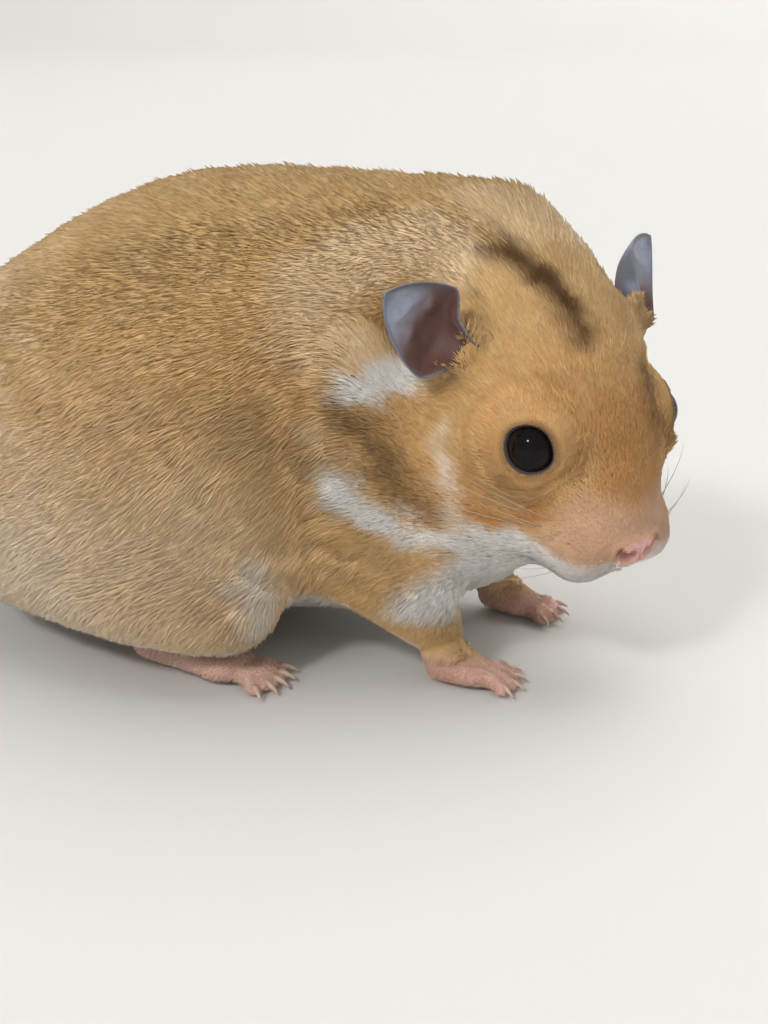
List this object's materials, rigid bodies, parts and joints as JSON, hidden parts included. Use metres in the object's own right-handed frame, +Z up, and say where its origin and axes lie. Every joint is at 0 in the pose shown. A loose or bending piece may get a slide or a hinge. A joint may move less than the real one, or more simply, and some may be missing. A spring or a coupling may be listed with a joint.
{
  "type": "syrian hamster",
  "caption": "Life-size Syrian hamster, golden coated, crouching with its head low and turned to its right; a still figure that rests on its paws.",
  "frame": {"origin": "bottom centre of the whole animal, on the floor under the belly", "axes": "+X forwards along the trunk to the head, +Y to the animal's left, +Z up"},
  "size_m": [0.1136, 0.063, 0.063],
  "materials": {
    "coat_golden": "dense golden agouti fur with darker tips",
    "coat_cream": "short whitish fur",
    "ear_skin": "thin grey skin with very short hairs",
    "pink_skin": "bare pink skin, matt",
    "eye_black": "wet black eyeball"
  },
  "bodies": {
    "root": {"ear_left": "ear_skin", "ear_right": "ear_skin", "eye_left": "eye_black", "eye_right": "eye_black", "foreleg_left": "coat_golden", "foreleg_right": "coat_golden", "forepaw_left": "pink_skin", "forepaw_right": "pink_skin", "head": "coat_golden", "hind_foot_left": "pink_skin", "hind_foot_right": "pink_skin", "lower_jaw": "coat_cream", "neck": "coat_golden", "nose": "pink_skin", "tail": "pink_skin", "thigh_left": "coat_golden", "thigh_right": "coat_golden", "trunk": "coat_golden"}
  },
  "joints": []
}
